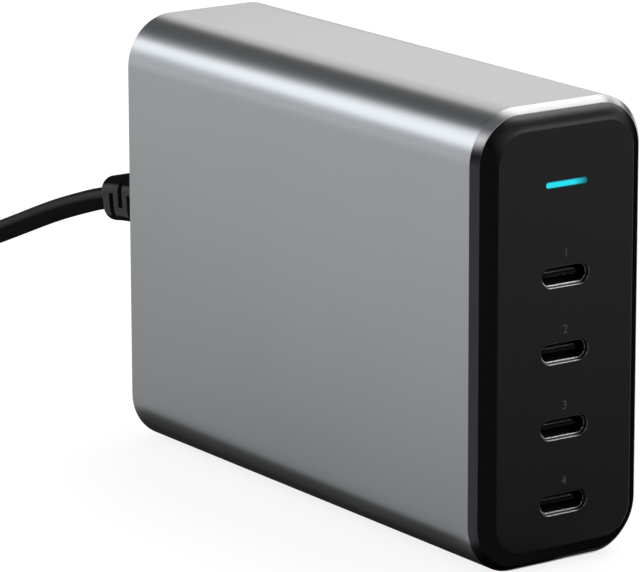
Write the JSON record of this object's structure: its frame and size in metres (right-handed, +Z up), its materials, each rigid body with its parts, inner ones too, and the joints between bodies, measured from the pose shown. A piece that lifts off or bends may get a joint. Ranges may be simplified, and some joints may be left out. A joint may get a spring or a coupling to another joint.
{
  "type": "usb-c charger",
  "caption": "Upright block charger with a grey metal sleeve, black end caps, a lit status bar, USB-C ports in a column and a plug-in mains lead.",
  "frame": {"origin": "middle of the charger's underside, on the surface it stands on", "axes": "+Z up, the ports face -Y, +Y towards the mains inlet, +X to the right seen from the ports"},
  "size_m": [0.0404, 0.3249, 0.074],
  "materials": {
    "sleeve": "fine blasted and anodised grey",
    "cap_plastic": "fine-textured black moulding",
    "shell_metal": "satin plated steel",
    "tongue_plastic": "black moulded insert",
    "contact_metal": "gold plated",
    "light": "lit cyan diffuser",
    "led": "potted chip",
    "board": "green solder mask",
    "liner": "thin black sheet moulding",
    "component": "black epoxy",
    "filter_film": "yellow moulded box",
    "fuse_body": "brown moulded box",
    "ferrite": "sintered ferrite",
    "copper": "enamelled copper wire",
    "bobbin": "phenolic spool",
    "can": "rolled can",
    "spreader": "rolled sheet",
    "pad": "soft silicone pad",
    "inlet_plastic": "black moulding",
    "pin_metal": "nickel plated",
    "connector": "moulded black jacket",
    "cord": "smooth black jacket",
    "tie": "woven hook and loop band",
    "plug": "moulded black jacket",
    "blade_metal": "nickel plated brass"
  },
  "bodies": {
    "root": {"ac_inlet": "inlet_plastic", "board_link": "component", "boost_bobbin": "bobbin", "boost_core": "ferrite", "boost_winding": "copper", "bridge_rectifier": "component", "bulk_capacitor_1": "can", "bulk_capacitor_2": "can", "bulk_capacitor_3": "can", "choke_core": "ferrite", "choke_winding": "copper", "connector_sockets": "pin_metal", "control_chips": "component", "cord_coil": "cord", "cord_connector": "connector", "cord_tail": "cord", "cord_tie": "tie", "filter_capacitor": "filter_film", "front_cap": "cap_plastic", "fuse": "fuse_body", "heat_spreader": "spreader", "inlet_pins": "pin_metal", "insulating_liner": "liner", "light_pipe": "light", "main_board": "board", "outer_sleeve": "sleeve", "output_capacitors": "can", "output_inductor_1": "ferrite", "output_inductor_2": "ferrite", "output_inductor_3": "ferrite", "output_inductor_4": "ferrite", "plug_blades": "blade_metal", "plug_body": "plug", "port_board": "board", "power_cord": "cord", "rear_cap": "cap_plastic", "status_led": "led", "switch_chips": "component", "thermal_pads": "pad", "transformer_bobbin": "bobbin", "transformer_core": "ferrite", "transformer_winding": "copper", "usb_c_contacts": "contact_metal", "usb_c_shell_1": "shell_metal", "usb_c_shell_2": "shell_metal", "usb_c_shell_3": "shell_metal", "usb_c_shell_4": "shell_metal", "usb_c_tongue_1": "tongue_plastic", "usb_c_tongue_2": "tongue_plastic", "usb_c_tongue_3": "tongue_plastic", "usb_c_tongue_4": "tongue_plastic"}
  },
  "joints": []
}
